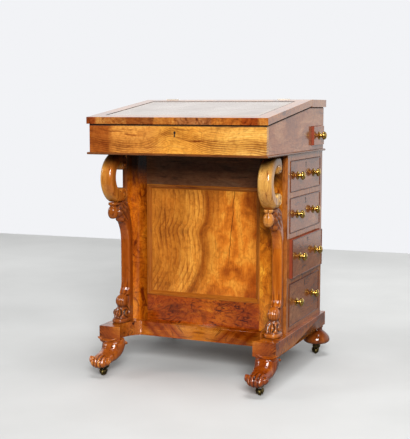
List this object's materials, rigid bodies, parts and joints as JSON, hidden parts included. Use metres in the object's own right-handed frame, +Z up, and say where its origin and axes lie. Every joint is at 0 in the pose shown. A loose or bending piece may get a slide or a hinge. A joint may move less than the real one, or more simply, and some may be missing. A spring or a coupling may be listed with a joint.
{
  "type": "davenport desk",
  "caption": "Davenport desk: writing box with a sloping leather-topped lid on carved supports, a pedestal of side drawers, and a plinth on castors.",
  "frame": {"origin": "on the floor under the middle of the desk's outer box", "axes": "+X to the sitter's right, +Y to the back, +Z up"},
  "size_m": [0.6144, 0.592, 0.8326],
  "materials": {
    "walnut_veneer": "figured walnut veneer, French polished to a high gloss",
    "carved_walnut": "solid walnut, carved and polished",
    "lining_wood": "plain mahogany lining, waxed",
    "leather": "thin red-brown skiver leather with a tooled border",
    "brass": "turned brass, lacquered, slightly worn",
    "castor_brass": "cast brass, dull and darkened"
  },
  "bodies": {
    "carcass": {"back_board": "walnut_veneer", "back_ledge": "walnut_veneer", "bank_partitions": "lining_wood", "case_back": "walnut_veneer", "case_base_board": "walnut_veneer", "case_front": "walnut_veneer", "case_left_side": "walnut_veneer", "case_right_side": "walnut_veneer", "castor_sockets": "castor_brass", "drawer_face_frame": "walnut_veneer", "drawer_runners": "lining_wood", "dummy_drawer_fronts": "walnut_veneer", "dummy_knobs": "brass", "front_feet": "carved_walnut", "front_frame": "walnut_veneer", "front_panel": "walnut_veneer", "front_panel_moulding": "carved_walnut", "hinge_fixed_leaves": "brass", "hinge_pins": "brass", "left_side": "walnut_veneer", "lid_lock": "brass", "pedestal_floor": "lining_wood", "plinth": "walnut_veneer", "rear_feet": "carved_walnut", "support_columns": "carved_walnut", "support_scrolls": "carved_walnut"},
    "lid": {"hinge_moving_leaves": "brass", "leather_inset": "leather", "lid_frame": "walnut_veneer", "lock_link_plate": "brass"},
    "pen_drawer": {"pen_drawer_front": "walnut_veneer", "pen_drawer_knob": "brass", "pen_drawer_tray": "lining_wood"},
    "bank_drawer": {"bank_drawer_front": "lining_wood", "bank_drawer_knob": "brass", "bank_drawer_tray": "lining_wood"},
    "drawer_1": {"drawer_1_box": "lining_wood", "drawer_1_front": "walnut_veneer", "drawer_1_knobs": "brass", "drawer_1_lock": "brass"},
    "drawer_2": {"drawer_2_box": "lining_wood", "drawer_2_front": "walnut_veneer", "drawer_2_knobs": "brass", "drawer_2_lock": "brass"},
    "drawer_3": {"drawer_3_box": "lining_wood", "drawer_3_front": "walnut_veneer", "drawer_3_knobs": "brass", "drawer_3_lock": "brass"},
    "drawer_4": {"drawer_4_box": "lining_wood", "drawer_4_front": "walnut_veneer", "drawer_4_knobs": "brass", "drawer_4_lock": "brass"},
    "fork_front_left": {"castor_fork_front_left": "castor_brass"},
    "wheel_front_left": {"castor_wheel_front_left": "castor_brass"},
    "fork_front_right": {"castor_fork_front_right": "castor_brass"},
    "wheel_front_right": {"castor_wheel_front_right": "castor_brass"},
    "fork_rear_left": {"castor_fork_rear_left": "castor_brass"},
    "wheel_rear_left": {"castor_wheel_rear_left": "castor_brass"},
    "fork_rear_right": {"castor_fork_rear_right": "castor_brass"},
    "wheel_rear_right": {"castor_wheel_rear_right": "castor_brass"}
  },
  "joints": [
    {"name": "lid_hinge", "type": "hinge", "parent": "carcass", "child": "lid", "pos_m": [0, 0.1123, 0.83], "axis": [-1, 0, 0], "range_deg": [0, 100]},
    {"name": "drawer_1_slide", "type": "slide", "parent": "carcass", "child": "drawer_1", "axis": [1, 0, 0], "range_m": [0, 0.38]},
    {"name": "drawer_2_slide", "type": "slide", "parent": "carcass", "child": "drawer_2", "axis": [1, 0, 0], "range_m": [0, 0.38]},
    {"name": "drawer_3_slide", "type": "slide", "parent": "carcass", "child": "drawer_3", "axis": [1, 0, 0], "range_m": [-0.009, 0.371]},
    {"name": "drawer_4_slide", "type": "slide", "parent": "carcass", "child": "drawer_4", "axis": [1, 0, 0], "range_m": [0, 0.38]},
    {"name": "pen_drawer_slide", "type": "slide", "parent": "carcass", "child": "pen_drawer", "axis": [1, 0, 0], "range_m": [-0.009, 0.171]},
    {"name": "bank_drawer_slide", "type": "slide", "parent": "carcass", "child": "bank_drawer", "axis": [0, -1, 0], "range_m": [0, 0.085]},
    {"name": "castor_swivel_front_left", "type": "hinge", "parent": "carcass", "child": "fork_front_left", "pos_m": [-0.25, -0.243, 0.034], "axis": [0, 0, 1], "continuous": true},
    {"name": "castor_roll_front_left", "type": "hinge", "parent": "fork_front_left", "child": "wheel_front_left", "pos_m": [-0.25181, -0.24976, 0.01], "axis": [0.9659, -0.2588, 0], "continuous": true},
    {"name": "castor_swivel_front_right", "type": "hinge", "parent": "carcass", "child": "fork_front_right", "pos_m": [0.25, -0.243, 0.034], "axis": [0, 0, 1], "continuous": true},
    {"name": "castor_roll_front_right", "type": "hinge", "parent": "fork_front_right", "child": "wheel_front_right", "pos_m": [0.25239, -0.24958, 0.01], "axis": [0.9397, 0.342, 0], "continuous": true},
    {"name": "castor_swivel_rear_left", "type": "hinge", "parent": "carcass", "child": "fork_rear_left", "pos_m": [-0.263, 0.253, 0.034], "axis": [0, 0, 1], "continuous": true},
    {"name": "castor_roll_rear_left", "type": "hinge", "parent": "fork_rear_left", "child": "wheel_rear_left", "pos_m": [-0.2595, 0.25906, 0.01], "axis": [-0.866, 0.5, 0], "continuous": true},
    {"name": "castor_swivel_rear_right", "type": "hinge", "parent": "carcass", "child": "fork_rear_right", "pos_m": [0.263, 0.253, 0.034], "axis": [0, 0, 1], "continuous": true},
    {"name": "castor_roll_rear_right", "type": "hinge", "parent": "fork_rear_right", "child": "wheel_rear_right", "pos_m": [0.2585, 0.25836, 0.01], "axis": [-0.766, -0.6428, 0], "continuous": true}
  ]
}
